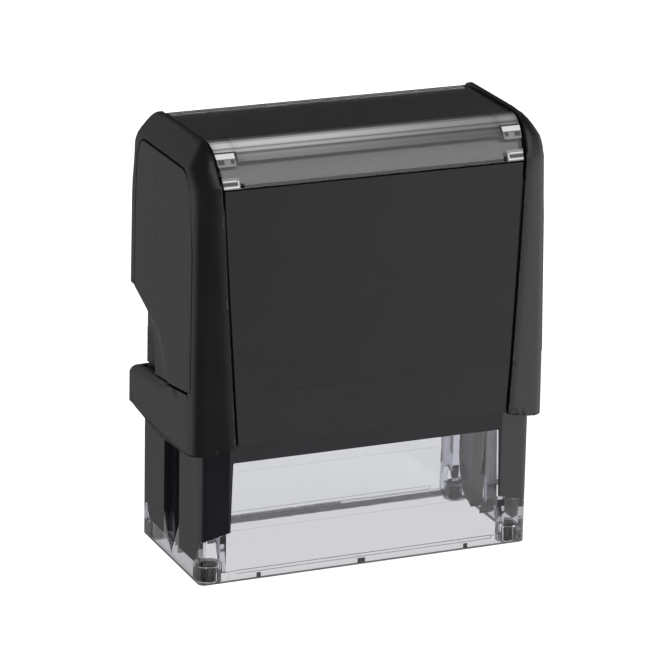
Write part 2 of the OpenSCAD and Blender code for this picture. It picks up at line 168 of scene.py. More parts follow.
def lean_back(m, start, degrees):
    """Shades faces as curving back beyond |x| = start metres."""
    nt = m.node_tree
    tc = node(nt, "ShaderNodeTexCoord")
    xyz = node(nt, "ShaderNodeSeparateXYZ")
    nt.links.new(tc.outputs["Object"], xyz.inputs[0])
    last = xyz.outputs["X"]
    for op, value in (("ABSOLUTE", None), ("SUBTRACT", start),
                      ("MAXIMUM", 0.0),
                      ("MULTIPLY", -math.tan(math.radians(degrees)))):
        n = node(nt, "ShaderNodeMath", operation=op)
        nt.links.new(last, n.inputs[0])
        if value is not None:
            n.inputs[1].default_value = value
        last = n.outputs[0]
    b = node(nt, "ShaderNodeBump")
    b.inputs["Strength"].default_value = 1.0
    b.inputs["Distance"].default_value = 1.0
    nt.links.new(last, b.inputs["Height"])
    grain = [n for n in nt.nodes if n.bl_idname == "ShaderNodeBump"
             and n != b][0]
    nt.links.new(b.outputs["Normal"], grain.inputs["Normal"])


lean_back(LEGS, 0.0328, 12.0)
BUTTON = plastic("button_plastic", (0.0090, 0.0090, 0.0092),
                 (0.0112, 0.0112, 0.0114), 0.34, 0.02)
CART = plastic("cartridge_plastic", (0.006, 0.006, 0.0075),
               (0.009, 0.009, 0.010), 0.45, 0.04)
CARD = plastic("label_card", (0.006, 0.006, 0.0065),
               (0.008, 0.008, 0.0085), 0.30, 0.03)
RUBBER = plastic("foot_rubber", (0.008, 0.008, 0.009),
                 (0.014, 0.014, 0.015), 0.62, 0.05)
CLEAR = clear_plastic("clear_base_plastic", (0.825, 0.832, 0.855))
WINDOW = clear_plastic("window_plastic", (0.96, 0.96, 0.965), ripple=0.015)
PLATEN = plastic("platen_plastic", (0.085, 0.085, 0.09), (0.10, 0.10, 0.105),
                 0.42, 0.04)
STEEL = plastic("steel", (0.55, 0.56, 0.58), (0.62, 0.63, 0.65), 0.25, 0.05)
STEEL.node_tree.nodes["Principled BSDF"].inputs["Metallic"].default_value = 1
FELT = plastic("ink_felt", (0.010, 0.010, 0.018), (0.020, 0.020, 0.032),
               0.9, 0.05)
FOAM = plastic("foam", (0.05, 0.05, 0.055), (0.08, 0.08, 0.085), 0.9, 0.05)
TEXT = plastic("text_rubber", (0.16, 0.03, 0.025), (0.22, 0.045, 0.035),
               0.55, 0.05)

LOOK = {
    "lower_frame": LEGS, "clear_base": CLEAR, "base_feet": RUBBER,
    "ink_cartridge": CART, "ink_pad": FELT, "cap_shell": CAP,
    "left_side_cover": COVER, "right_side_cover": COVER,
    "label_card": CARD, "index_window": WINDOW, "return_spring": STEEL,
    "left_lock_button": BUTTON, "right_lock_button": BUTTON,
    "left_button_spring": STEEL, "right_button_spring": STEEL,
    "platen": PLATEN, "left_axle_pin": STEEL, "right_axle_pin": STEEL,
    "cam_followers": STEEL, "foam_cushion": FOAM, "text_plate": TEXT,
}
BODY = {n: b for b, ns in frame["record"]["behaviour"]["bodies"].items()
        for n in ns}

# ---------------------------------------------------------------- pieces

EDGE = ((29, 32.7), (32.7, 32.7), (42, 33.3), (55, 34.05), (68, 34.75),
        (80, 35.35), (90.2, 35.85), (95.5, 36.4), (99.6, 36.8), (101, 36.8))
FRONT = ((28, -20.95), (34, -20.93), (66, -20.0), (90.2, -19.2),
         (92.3, -18.35), (93.8, -17.6), (95.2, -16.75), (96.5, -15.8),
         (97.65, -14.75), (98.45, -13.8), (98.99, -12.8), (99.35, -11.7),
         (99.5, -10.5), (101, -10.5))
REAR = ((28, 20.95), (60, 20.8), (72, 20.2), (90.5, 19.3), (98.3, 15.9),
        (99.05, 15.2), (99.5, 14.3), (101, 14.3))
TAPER = ((28, 0.0), (45, 0.05), (60, 0.30), (75, 0.48), (85, 0.56),
         (92, 0.62), (95, 0.60), (97.5, 0.45), (99.5, 0.2), (101, 0.2))
SCOOP = ((12.5, 56.9), (9.3, 55.8), (5.2, 54.7), (2.2, 53.1), (-0.3, 50.5),
         (-2.2, 47.4), (-3.5, 44.6), (-4.3, 42.9), (-4.6, 41.0))


def table(rows, v):
    return float(np.interp(v, [r[0] for r in rows], [r[1] for r in rows]))


def smooth(a, b, v):
    t = min(max((v - a) / (b - a), 0.0), 1.0)
    return t * t * (3 - 2 * t)


def paint(obj, mat):
    obj.data.materials.clear()
    obj.data.materials.append(mat)


def tidy(bm, angle=0.04):
    bmesh.ops.remove_doubles(bm, verts=bm.verts, dist=2e-6)
    bmesh.ops.dissolve_limit(bm, angle_limit=math.radians(angle),
                             verts=bm.verts, edges=bm.edges,
                             use_dissolve_boundaries=False)


def soften(obj, width, segments=3, angle=28):
    for p in obj.data.polygons:
        p.use_smooth = True
    mod = obj.modifiers.new("edge", "BEVEL")
    mod.width = width
    mod.segments = segments
    mod.limit_method = "ANGLE"
    mod.angle_limit = math.radians(angle)
    mod.miter_outer = "MITER_ARC"
    wn = obj.modifiers.new("normals", "WEIGHTED_NORMAL")
    wn.mode = "FACE_AREA"
    wn.weight = 80
    return mod


def add(name, bm, mat, body, *replaced):
    me = bpy.data.meshes.new(name)
    bm.to_mesh(me)
    bm.free()
    obj = bpy.data.objects.new(name, me)
    scene.collection.objects.link(obj)
    paint(obj, mat)
    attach(obj, body)
    if replaced:
        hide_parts(*replaced)
    return obj


def take(name, width=0.00022, segments=3, mat=None, shape=None):
    """A piece with a CAD node's shape, its edges rounded as moulded."""
    bm = bmesh.new()
    bm.from_mesh(NODES[name].data)
    tidy(bm)
    if shape is not None:
        shape(bm)
    obj = add(name + "_look", bm, mat or LOOK[name], BODY[name], name)
    if width:
        soften(obj, width, segments)
    return obj


def slices(bm, axis, values):
    no = Vector((0, 0, 0))
    no[axis] = 1
    for v in values:
        co = Vector((0, 0, 0))
        co[axis] = v * MM
        bmesh.ops.bisect_plane(
            bm, geom=bm.verts[:] + bm.edges[:] + bm.faces[:], plane_co=co,
            plane_no=no, dist=1e-7)


def drawn_in(ax, z):
    return table(TAPER, z) * smooth(37.2, 40.2, ax)


def split_bent(bm, flat=0.004):
    """Triangulates the faces that a change of shape left out of plane."""
    bent = []
    for f in bm.faces:
        if len(f.verts) > 3:
            c, n = f.calc_center_median(), f.normal
            f.normal_update()
            if max(abs((v.co - c).dot(f.normal)) for v in f.verts) \
                    > flat * MM:
                bent.append(f)
    if bent:
        bmesh.ops.triangulate(bm, faces=bent, quad_method="BEAUTY",
                              ngon_method="BEAUTY")


def sharper(x, y, hx, hy, old, front, back):
    """Moves a point on a round plan corner to a smaller radius."""
    ax, ay = abs(x) - (hx - old), abs(y) - (hy - old)
    d = math.hypot(ax, ay)
    if ax <= 0 or ay <= 0 or abs(d - old) > 0.15:
        return x, y
    r = (front if y < 0 else back) + d - old
    k = front if y < 0 else back
    return (math.copysign(hx - k + r * ax / d, x),
            math.copysign(hy - k + r * ay / d, y))


ROOF = ((28, 42.4), (92.3, 42.4), (93.3, 42.3), (94.5, 42.0), (95.6, 41.35),
        (97.4, 40.0), (99.45, 37.9), (101, 37.9))
ROUND = ((28, 2.8), (62, 2.8), (84, 3.1), (91, 3.4), (96, 3.2), (98.4, 2.2),
         (99.5, 1.0))


def round_front(x, y, z):
    """Rounds the front corner of a cover, more so towards its top."""
    r = table(ROUND, z)
    cx, cy = table(ROOF, z) - r, table(FRONT, z) + r
    a, b = abs(x) - cx, cy - y
    if a <= 1e-6 or b <= 1e-6:
        return x, y
    d = math.hypot(a, b)
    ua, ub = a / d, b / d
    far = min(r / max(ua, 1e-9), r / max(ub, 1e-9))
    ka, kb = 39.6 - cx, cy + 18.15
    proj = ua * ka + ub * kb
    disc = proj * proj - (ka * ka + kb * kb - 2.8 * 2.8)
    if disc > 0:
        t = proj + math.sqrt(disc)
        if t * ua > ka and t * ub > kb:
            far = min(far, t)
    k = min(1.0, r / far)
    return math.copysign(cx + a * k, x), cy - b * k


def radial(a, b, r):
    """Scale that turns a square corner of size r into a round one."""
    d = math.hypot(a, b)
    return min(1.0, max(a, b) / d)


def shelf_top(y):
    return float(np.interp(y, (-4.3, 7.4, 18.7, 21), (42.75, 41.4, 39.9, 39.6)))


def raise_shelf(x, y, z):
    """Lifts the shelf under the finger scoop towards its back end."""
    if y < -4.3:
        return z
    line = 42.75 - 0.17955 * (y + 4.3) if y < 14.998 else 38.5
    if abs(y - 15) < 0.002 and 38.4 < z < 39.3:
        return shelf_top(y)
    if z > line + 0.1:
        return z
    return z + (shelf_top(y) - line) * min(max((z - line + 7) / 7, 0.0), 1.0)


def round_shelf(x, y, z):
    """Fillets the shelf under the finger scoop."""
    if y < -4.2 or abs(x) < 40.1:
        return x, y, z
    s = (shelf_top(y) - z) * 0.984
    u, r = 42.4 - abs(x), 0.05 + 1.5 * smooth(-4.2, -1.0, y)
    if -0.3 < s < r and u < r:
        s = max(s, 0.0)
        k = radial(r - u, r - s, r)
        u, t = r - (r - u) * k, r - (r - s) * k
        x = math.copysign(42.4 - u, x)
        z = shelf_top(y) - t / 0.984
    return x, y, z


def round_shelf_end(x, y, z):
    r = 1.4
    top = shelf_top(y)
    if y < 10 or z > top + 0.1:
        return x, y, z
    a, b = y - (20.95 - r), z - (top - r)
    if a > 0 and b > 0:
        k = radial(a, b, r)
        y, z = 20.95 - r + a * k, top - r + b * k
    return x, y, z


def steps(a, b, d):
    return tuple(float(v) for v in np.arange(a, b, d))


LOWS = (0.15, 0.4, 0.75, 1.15, 1.6, 2.3, 3.3, 4.8)


def cut_part(bm, span, point, normal):
    """Slices the part of the shelf that lies between two y values."""
    faces = [f for f in bm.faces
             if span[0] < f.calc_center_median().y / MM < span[1]
             and 32 < f.calc_center_median().z / MM < 43]
    edges = {e for f in faces for e in f.edges}
    verts = {v for f in faces for v in f.verts}
    bmesh.ops.bisect_plane(
        bm, geom=list(verts) + list(edges) + faces, dist=1e-7,
        plane_co=Vector(point) * MM, plane_no=normal)


def cover_form(bm):
    """Draws the cover in towards its top and curves its flanges back."""
    q = 1.0
    slices(bm, 2, (31.2, 35.2) + steps(43.2, 90, 4.0 * q)
           + steps(90.2, 99.3, 1.1 * q))
    xs = steps(33.6, 42.3, 0.8 * q)
    xs += (40.4, 41.2, 41.9, 42.15, 42.3)
    slices(bm, 0, xs + tuple(-x for x in xs))
    slices(bm, 1, (-20.4, -19.9, -19.3, -18.7, -18.1, -17.4, -16.7, -16,
                   -15, -13.6, -12.4, -11, -7, -4.3, -2.6, -1, 3, 7, 11, 15,
                   17.5, 18.95, 19.5, 20.0, 20.4, 20.7))
    for low in LOWS:
        if low > 1.5:
            cut_part(bm, (-22, -4.3), (0, 0, 42.75 - low), (0, 0, 1))
        cut_part(bm, (-4.3, 15.0), (0, -4.3, 42.75 - low),
                 (0, 0.1767, 0.9843))
        cut_part(bm, (15.0, 22.0), (0, 0, 38.5 - low), (0, 0, 1))
    for v in bm.verts:
        x, y, z = v.co / MM
        if y > 17.0 and 59.5 < z < 61.3 and abs(x) > 30:
            z -= 0.9
        was = abs(y)
        z = raise_shelf(x, y, z)
        if y > 0:
            back = 1.1 + 1.7 * smooth(80, 91, z)
            x, y = sharper(x, y, 42.4, 20.95, 2.8, 2.8, back)
        else:
            x, y = round_front(x, y, z)
        x, y, z = round_shelf(x, y, z)
        x, y, z = round_shelf_end(x, y, z)
        ax = abs(x)
        d = ax - table(EDGE, z)
        for front in (True, False):
            face = table(FRONT if front else REAR, z)
            depth = (y - face) if front else (face - y)
            w = (1 - smooth(2.6, 6.0, depth)) * (1 - smooth(93, 99, z))
            slope = math.tan(math.radians(12.0 if front else 5.0))
            t = min(max(d / 2.2, 0.0), 1.0)
            g = slope * (2.2 * (t ** 3 - t ** 4 / 2) + max(d - 2.2, 0.0))
            y += (g if front else -g) * w
        if was > 17.95 and abs(y) < 17.95 and ax < 40.3 and z < 70:
            y = math.copysign(17.95, y)
        x = math.copysign(ax - drawn_in(ax, z), x)
        v.co = Vector((x, y, z)) * MM
    step = [v for v in bm.verts if abs(v.co.y / MM - 15) < 0.01
            and abs(v.co.z / MM - shelf_top(15)) < 0.5]
    bmesh.ops.remove_doubles(bm, verts=step, dist=2e-6)
    split_bent(bm)


SQUARE = (((31.1, 27.9), (31.85, 27.9)), ((32.1, 26.9), (32.1, 27.65)),
          ((35.6, 27.9), (36.35, 27.9)), ((36.6, 26.9), (36.6, 27.65)),
          ((31.0, 27.75), (31.7, 27.75)), ((31.95, 26.8), (31.95, 27.5)),
          ((35.4, 27.75), (36.15, 27.75)), ((36.4, 26.8), (36.4, 27.5)))


def square_up(x, z, y):
    """Tighter upper corners for the windows between the legs."""
    for (a, b), (c, d) in SQUARE:
        if abs(abs(x) - a) < 0.02 and abs(z - b) < 0.02 and abs(y) > 15:
            return math.copysign(c, x), d
    return x, z


def frame_form(bm):
    """Sharper corners, and the cheeks above the cartridge's grips."""
    for v in bm.verts:
        x, y, z = v.co / MM
        x, y = sharper(x, y, 39.5, 17.7, 2.6, 1.5, 0.9)
        if z > 36.02:
            round_part = abs(x) > 38.2 and abs(y) > 14.5
            if abs(x) > 38.95 or round_part:
                x += math.copysign(0.42, x)
            if abs(y) > 17.15 or round_part:
                y += math.copysign(0.32, y)
        if abs(x) > 37.5 and y > 9.0 and abs(z - 52) < 0.02:
            z = 49.4
        x, z = square_up(x, z, y)
        v.co = Vector((x, y, z)) * MM


def base_form(bm):
    for v in bm.verts:
        x, y, z = v.co / MM
        x, y = sharper(x, y, 39.5, 17.7, 2.6, 1.5, 0.9)
        x, z = square_up(x, z, y)
        v.co = Vector((x, y, z)) * MM


def grip_form(bm):
    """Plain, low finger grips."""
    for v in bm.verts:
        x, y, z = v.co / MM
        if abs(x) > 38.05 and y > 16.5:
            y = 17.3
        if abs(x) > 38.05 and z > 40.5:
            if abs(x) < 38.85:
                x = math.copysign(38.88, x)
            z = 41 + (z - 41) * 0.78
        v.co = Vector((x, y, z)) * MM


def panel_form(bm):
    """Draws the panel in from the covers, for a gap that reads as one."""
    slices(bm, 2, (43.95, 44.2, 44.5))
    for v in bm.verts:
        x, y, z = v.co / MM
        e = table(EDGE, z)
        if abs(x) < e - 0.1 and abs(y) > 8:
            w = smooth(e - 1.2, e - 0.45, abs(x))
            v.co.x -= math.copysign(0.34 * w, x) * MM
        if y < -19.8 and abs(z - 44.2) < 0.05:
            v.co.y -= 0.07 * MM


for n, m in LOOK.items():
    NODES[n].data.materials.clear()
    NODES[n].data.materials.append(m)

for n in ("left_side_cover", "right_side_cover"):
    take(n, 0.00028, 4, shape=cover_form)
take("cap_shell", 0.00024, 3, shape=panel_form)
take("lower_frame", 0.00022, 3, shape=frame_form)
take("ink_cartridge", 0.0002, 2, shape=grip_form)


# A plate with a modelled outer surface and rounded edges.

def resample(pts, step, closed=True):
    out = []
    n = len(pts)
    for i in range(n if closed else n - 1):
        a = np.array(pts[i], float)
        b = np.array(pts[(i + 1) % n], float)
        k = max(1, int(math.ceil(np.linalg.norm(b - a) / step)))
        out += [tuple(a + (b - a) * j / k) for j in range(k)]
    if not closed:
        out.append(tuple(map(float, pts[-1])))
    return out


def area(pts):
    p = np.array(pts)
    q = np.roll(p, -1, 0)
    return 0.5 * float(np.sum(p[:, 0] * q[:, 1] - q[:, 0] * p[:, 1]))


def inset(pts, d):
    """Moves a counterclockwise loop inwards by d, along its mitres."""
    p = np.array(pts, float)
    e1 = p - np.roll(p, 1, 0)
    e2 = np.roll(p, -1, 0) - p
    e1 /= np.linalg.norm(e1, axis=1)[:, None]
    e2 /= np.linalg.norm(e2, axis=1)[:, None]
    n1 = np.stack([-e1[:, 1], e1[:, 0]], 1)
    n2 = np.stack([-e2[:, 1], e2[:, 0]], 1)
    m = n1 + n2
    m /= np.maximum(np.linalg.norm(m, axis=1), 1e-9)[:, None]
    c = np.maximum(np.sum(m * n1, axis=1), 0.5)
    return [tuple(v) for v in p + m * (d / c)[:, None]]


def round_corners(pts, r, n=6, only=None):
    """Rounds each corner of a closed outline to about radius r."""
    out = []
    k = len(pts)
    for i in range(k):
        a, b, c = (np.array(pts[j % k], float) for j in (i - 1, i, i + 1))
        u, v = a - b, c - b
        lu, lv = np.linalg.norm(u), np.linalg.norm(v)
        u, v = u / lu, v / lv
        half = math.acos(max(-1, min(1, float(u @ v)))) / 2
        t = r / math.tan(half) if half > 1e-3 else 0
        if half > math.radians(84) or (only is not None and i not in only):
            out.append(tuple(b))
            continue
        t = min(t, 0.45 * lu, 0.45 * lv)
        p, q = b + u * t, b + v * t
        for j in range(n + 1):
            s = j / n
            out.append(tuple((1 - s) ** 2 * p + 2 * s * (1 - s) * b
                             + s * s * q))
    return out


def relief(name, outline, height, place, thick, r, step, lines=()):
    """A plate whose outer surface is place(u, v, height(u, v))."""
    from mathutils.geometry import delaunay_2d_cdt
    if area(outline) < 0:
        outline = outline[::-1]
    base = resample(outline, step)
    bm = bmesh.new()
    rings = []
    turns = 5
    levels = [(r + 0.1, 0.0)] + [
        (r * (1 - math.sin(math.pi / 2 * k / turns)),
         r * (1 - math.cos(math.pi / 2 * k / turns)))
        for k in range(turns + 1)] + [(0.0, thick)]
    core = None
    for inward, down in levels:
        loop = inset(base, inward) if inward > 0 else base
        if core is None:
            core = loop
        rings.append([bm.verts.new(place(u, v, height(u, v) - down))
                      for u, v in loop])
    arr = np.array(core)
    lo, hi = arr.min(0), arr.max(0)
    nxt = np.roll(arr, -1, 0)
    grid = []
    for j, v in enumerate(np.arange(lo[1] + step * 0.5, hi[1], step)):
        xs = np.arange(lo[0] + (step * 0.5 if j % 2 else step), hi[0], step)
        for u in xs:
            cross = ((arr[:, 1] > v) != (nxt[:, 1] > v))
            with np.errstate(divide="ignore", invalid="ignore"):
                at = (nxt[:, 0] - arr[:, 0]) * (v - arr[:, 1]) / (
                    nxt[:, 1] - arr[:, 1]) + arr[:, 0]
            if int(np.sum(cross & (u < at))) % 2 == 0:
                continue
            ab = nxt - arr
            t = np.clip(((u - arr[:, 0]) * ab[:, 0] + (v - arr[:, 1])
                         * ab[:, 1]) / np.maximum((ab ** 2).sum(1), 1e-12),
                        0, 1)
            d = np.hypot(arr[:, 0] + t * ab[:, 0] - u,
                         arr[:, 1] + t * ab[:, 1] - v).min()
            if d > step * 0.45:
                grid.append((u, v))
    pts = list(core)
    cons = [(i, (i + 1) % len(core)) for i in range(len(core))]
    for line in lines:
        inside = []
        for u, v in resample(line, step * 0.6, closed=False):
            cross = ((arr[:, 1] > v) != (nxt[:, 1] > v))
            at = (nxt[:, 0] - arr[:, 0]) * (v - arr[:, 1]) / np.where(
                nxt[:, 1] == arr[:, 1], 1, nxt[:, 1] - arr[:, 1]) \
                + arr[:, 0]
            if int(np.sum(cross & (u < at))) % 2:
                inside.append((u, v))
        k = len(pts)
        pts += inside[1:-1]
        cons += [(k + i, k + i + 1) for i in range(len(inside) - 3)]
    pts += grid
    vs, _, fs, orig, _, _ = delaunay_2d_cdt(
        [Vector(p) for p in pts], cons, [], 1, 1e-5)
    made = []
    for i, p in enumerate(vs):
        ids = [o for o in orig[i] if o < len(core)]
        made.append(rings[0][ids[0]] if ids else bm.verts.new(
            place(p.x, p.y, height(p.x, p.y))))
    for f in fs:
        bm.faces.new([made[i] for i in f])
    n = len(base)
    for a, b in zip(rings, rings[1:]):
        for i in range(n):
            j = (i + 1) % n
            bm.faces.new((a[i], a[j], b[j], b[i]))
    bvs, _, bfs, borig, _, _ = delaunay_2d_cdt(
        [Vector(p) for p in base], [(i, (i + 1) % n) for i in range(n)],
        [], 1, 1e-5)
    back = [rings[-1][borig[i][0]] for i in range(len(bvs))]
    for f in bfs:
        bm.faces.new([back[i] for i in reversed(f)])
    bmesh.ops.recalc_face_normals(bm, faces=bm.faces)
    for f in bm.faces:
        f.smooth = True
    return bm


def smooth_line(pts, n=8):
    """Catmull-Rom through the points."""
    p = [np.array(q, float) for q in pts]
    p = [2 * p[0] - p[1]] + p + [2 * p[-1] - p[-2]]
    out = []
    for i in range(1, len(p) - 2):
        for j in range(n):
            t = j / n
            a, b, c, d = p[i - 1:i + 3]
            out.append(tuple(0.5 * ((2 * b) + (c - a) * t
                       + (2 * a - 5 * b + 4 * c - d) * t ** 2
                       + (3 * b - a - 3 * c + d) * t ** 3)))
    out.append(tuple(p[-2]))
    return out


ARC = np.array(smooth_line(SCOOP))


def scoop_in(y, z):
    """Distance inside the scoop's arc, negative outside it."""
    a, b = ARC[:-1], ARC[1:]
    ab = b - a
    t = np.clip(((y - a[:, 0]) * ab[:, 0] + (z - a[:, 1]) * ab[:, 1])
                / (ab ** 2).sum(1), 0, 1)
    dy = y - (a[:, 0] + t * ab[:, 0])
    dz = z - (a[:, 1] + t * ab[:, 1])
    i = int(np.argmin(dy * dy + dz * dz))
    side = ab[i, 0] * dz[i] - ab[i, 1] * dy[i]
    return math.copysign(math.hypot(dy[i], dz[i]), side)


RIBS = (77.15, 80.7, 84.05)
DIMPLES = ((4.2, 87.15), (3.7, 74.4))


def button_height(y, z):
    s = scoop_in(y, z)
    h = 0.0
    if s > -1:
        q = 0.10 * math.log1p(math.exp(min(s / 0.10, 60)))
        h -= 1.0 * (1 - math.exp(-q / 1.25))
    for rz in RIBS:
        w = smooth(8.4, 6.9, abs(y - 3.6))
        h += 0.055 * w * math.exp(-((z - rz) / 0.34) ** 2)
    for dy, dz in DIMPLES:
        h -= 0.10 * math.exp(-(((y - dy) ** 2 + (z - dz) ** 2) / 0.22))
    return h


def block(bm, a, b):
    """A box between two corners, in millimetres."""
    c = [(p + q) / 2 * MM for p, q in zip(a, b)]
    size = [abs(p - q) * MM for p, q in zip(a, b)]
    return bmesh.ops.create_cube(bm, size=1, matrix=Matrix.Translation(c)
                                 @ Matrix.Diagonal((*size, 1)))


def disc(bm, a, b, r, sides=32):
    """A round bar from a to b, in millimetres."""
    a, b = Vector(a) * MM, Vector(b) * MM
    turn = (b - a).to_track_quat("Z", "Y").to_matrix().to_4x4()
    return bmesh.ops.create_cone(
        bm, cap_ends=True, segments=sides, radius1=r * MM, radius2=r * MM,
        depth=(b - a).length, matrix=Matrix.Translation((a + b) / 2) @ turn)


BUTTON_OUTLINE = [
    (-17.4, 44.9), (-17.13, 60), (-16.73, 76), (-15.8, 86.9),
    (-15.05, 89.4), (-13.8, 91.7), (-12.35, 93.05), (-10.8, 93.6),
    (13.0, 93.6),
    (14.4, 93.1), (15.6, 91.9), (16.5, 90.0), (17.0, 87.5), (17.5, 76),
    (17.6, 58.95), (9.0, 55.7), (9.2, 54.8), (7.9, 50.9), (6.2, 47.2),
    (6.2, 41.62), (-3.9, 42.8), (-4.7, 43.25)]


def make_button(side):
    name = "left_lock_button" if side < 0 else "right_lock_button"

    def place(y, z, h):
        x = 42.36 + h
        return Vector((side * (x - drawn_in(x, z)), y, z)) * MM

    lines = [[tuple(p) for p in ARC]]
    for off in (0.22, 0.5):
        a = ARC[:-1]
        t = ARC[1:] - a
        t /= np.linalg.norm(t, axis=1)[:, None]
        lines.append([tuple(p) for p in a + off * np.stack(
            [-t[:, 1], t[:, 0]], 1)])
    outline = round_corners(BUTTON_OUTLINE, 0.7, 4, only=(0, 14, 15))
    bm = relief(name, outline, button_height, place, 0.6, 0.28,
                0.42, lines)
    # The catch and the spring's spigot behind the plate.
    block(bm, (side * 39.8, -12, 64), (side * 41.4, -8, 67))
    disc(bm, (side * 40.75, 0, 88.5), (side * 41.3, 0, 88.5), 1.1)
    obj = add(name + "_look", bm, BUTTON, BODY[name], name)
    return obj


make_button(-1)
make_button(1)

# Dark tint for the base's downward faces: painted shade under the base and its
# lips.
UNDERSIDE_SHADE_TINT = clear_plastic("clear_base_underside_painted_shade", (0.36, 0.365, 0.39), 0.35)
MARK = plastic("sight_mark", (0.012, 0.012, 0.014), (0.03, 0.03, 0.034),
               0.4, 0.03)
base = take("clear_base", 0.00018, 2, shape=base_form)
base.data.materials.append(UNDERSIDE_SHADE_TINT)
base.data.materials.append(MARK)
# Darker tint on the guide columns: painted shade where the black legs show
# through.
COLUMN_SHADE_TINT = clear_plastic("clear_base_column_painted_shade", (0.40, 0.40, 0.48), 0.04)
END = clear_plastic("clear_base_end", (0.60, 0.605, 0.635), 0.03, ripple=0.3)
base.data.materials.append(COLUMN_SHADE_TINT)
base.data.materials.append(END)
for p in base.data.polygons:
    c = p.center / MM
    if abs(abs(c.y) - 17.5) < 0.3 and c.y < 0 and 0.1 < c.z < 1.4 and any(
            abs(c.x - x) < 0.9 for x in (-25.3, -0.7, 24.8)):
        p.material_index = 2
    # Downward faces take the painted-shade tint.
    elif p.normal.z < -0.9 and c.z < 0.1:
        p.material_index = 1
    elif p.normal.z < -0.9 and 1.5 < c.z < 2.8:
        p.material_index = 1
    # The guide columns take the painted-shade tint.
    elif 32.4 < abs(c.x) < 34.8 and 8.0 < abs(c.y) < 16.4 and c.z > 2.0:
        p.material_index = 3
    elif abs(c.x) > 37.9 and c.z < 12 or (
            c.z < 4.3 and math.hypot(abs(c.x) - 36.2, abs(c.y) - 14.2) < 2.8):
        p.material_index = 4
take("index_window", 0.00018, 2, shape=panel_form)


def painted_edge_sheen(name, low, high, scale, rough=0.4, stretch=(1, 1, 1)):
    """Painted sheen of rough clear plastic seen edge on: opaque grey, uneven.
    """
    m, nt, out = new_mat(name)
    p = node(nt, "ShaderNodeBsdfPrincipled")
    nt.links.new(p.outputs["BSDF"], out.inputs["Surface"])
    p.inputs["Roughness"].default_value = rough
    f = noise(nt, scale, 3.0, 0.65, stretch)
    nt.links.new(blend_colours(nt, remap(nt, f, 0.0, 1.0, 0.36, 0.64),
                               low, high), p.inputs["Base Color"])
    return m


def boxes_piece(name, boxes, mat, body, bevel=0.00006):
    bm = bmesh.new()
    for a, b in boxes:
        block(bm, a, b)
    obj = add(name, bm, mat, body)
    if bevel:
        soften(obj, bevel, 2)
    return obj


# Painted light on the clear base's edges: grey painted sheen on the rims,
# painted glints on the rear bar.
RIM_PAINTED_SHEEN = painted_edge_sheen("base_rim_painted_sheen", (0.24, 0.24, 0.25), (0.34, 0.34, 0.355), 260.0,
              stretch=(1, 1, 2))
BAR_PAINTED_GLINT = painted_edge_sheen("base_bar_painted_glint", (0.12, 0.12, 0.125), (0.72, 0.72, 0.74), 1900.0)
boxes_piece("base_rear_rim", [((-36.3, 16.9, 0.12), (36.3, 17.5, 1.12))],
            RIM_PAINTED_SHEEN, "frame", 0.0001)
boxes_piece("base_rear_bar", [((-21.5, 16.95, 1.2), (8.5, 17.45, 1.75))],
            BAR_PAINTED_GLINT, "frame", 0.0001)
boxes_piece("base_front_rim", [((-35.8, -17.55, 0.04), (35.8, -17.3, 0.3))],
            RIM_PAINTED_SHEEN, "frame", 0.00005)
boxes_piece("base_sight_marks",
            [((x - w, -17.69, 0.35), (x + w, -17.5, 1.45))
             for x, w in ((-25.6, 0.5), (-0.9, 0.9), (24.6, 0.5))],
            MARK, "frame", 0.00005)
boxes_piece("base_end_rims",
            [((side * 39.15, -14.8, 0.05), (side * 39.42, 15.2, 0.5))
             for side in (-1, 1)], RIM_PAINTED_SHEEN, "frame", 0.00005)


def wire(path, radius, sides):
    """A round wire along a path of points in millimetres, ends closed."""
    bm = bmesh.new()
    p = np.array(path, float)
    t = np.gradient(p, axis=0)
    t /= np.linalg.norm(t, axis=1)[:, None]
    n = np.cross(t[0], (0.0, 0.3, 1.0))
    rings = []
    for i in range(len(p)):
        n = n - t[i] * float(n @ t[i])
        n /= np.linalg.norm(n)
        m = np.cross(t[i], n)
        end = 0.82 if i in (0, len(p) - 1) else 1.0
        rings.append([bm.verts.new((p[i] + radius * end * (
            math.cos(a) * n + math.sin(a) * m)) * MM) for a in
            (2 * math.pi * k / sides for k in range(sides))])
    for a, b in zip(rings, rings[1:]):
        for k in range(sides):
            j = (k + 1) % sides
            bm.faces.new((a[k], a[j], b[j], b[k]))
    bm.faces.new(rings[0][::-1])
    bm.faces.new(rings[-1])
    bmesh.ops.recalc_face_normals(bm, faces=bm.faces)
    for f in bm.faces:
        f.smooth = len(f.verts) == 4
    return bm


def make_return_spring():
    """A closed coil spring, its end turns wound close."""
    z0, z1, gauge, turns, r = 55.05, 95.25, 0.5, 8.0, 5.5
    path = []
    for i in range(int(turns * 48) + 1):
        a = i / 48
        dead = 0.95
        if a < dead:
            z = z0 + gauge + 2 * gauge * a * 0.98
        elif a > turns - dead:
            z = z1 - gauge - 2 * gauge * (turns - a) * 0.98
        else:
            k = (a - dead) / (turns - 2 * dead)
            low = z0 + gauge + 2 * gauge * dead * 0.98
            high = z1 - gauge - 2 * gauge * dead * 0.98
            z = low + (high - low) * k
        path.append((r * math.cos(2 * math.pi * a),
                     r * math.sin(2 * math.pi * a), z))
    obj = add("return_spring_coil", wire(path, gauge, 14), STEEL,
              BODY["return_spring"], "return_spring")
    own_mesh(obj)


def make_button_spring(side):
    """A small conical coil between the cover's rest and the button."""
    name = "left_button_spring" if side < 0 else "right_button_spring"
    path = []
    for i in range(int(2.6 * 40) + 1):
        k = i / (2.6 * 40)
        a = 2 * math.pi * 2.6 * k
        r = 2.6 - 1.0 * smooth(0.1, 0.95, k)
        path.append((side * (39.80 + 1.14 * smooth(0.05, 0.95, k)),
                     r * math.cos(a), 88.5 + r * math.sin(a)))
    obj = add(name + "_coil", wire(path, 0.17, 10), STEEL, BODY[name], name)
    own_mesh(obj)


